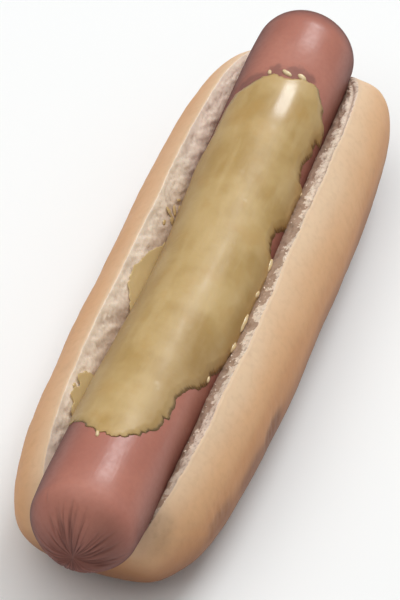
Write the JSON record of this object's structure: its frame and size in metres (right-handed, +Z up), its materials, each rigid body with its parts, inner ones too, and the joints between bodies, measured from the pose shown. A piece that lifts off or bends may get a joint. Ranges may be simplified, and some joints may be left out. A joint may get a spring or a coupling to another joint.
{
  "type": "hot dog",
  "caption": "Whole hot dog: a puckered-end sausage in a split soft roll, with a ragged coat of yellow-brown mustard along its top.",
  "frame": {"origin": "middle of the object's bounding box at its underside, on the flat base of the roll", "axes": "+Y along the roll, with the puckered sausage end that sticks out further towards -Y, +X to the right seen from that end, +Z up"},
  "size_m": [0.0512, 0.1659, 0.0431],
  "materials": {
    "bread": "soft baked crust, tan with a paler rim, and pale torn crumb inside the split",
    "sausage_skin": "smooth brownish pink cooked skin with a soft shine",
    "mustard": "wet, olive-yellow, faintly mottled and streaked"
  },
  "bodies": {
    "root": {"bun": "bread", "sausage": "sausage_skin", "mustard": "mustard"}
  },
  "joints": []
}
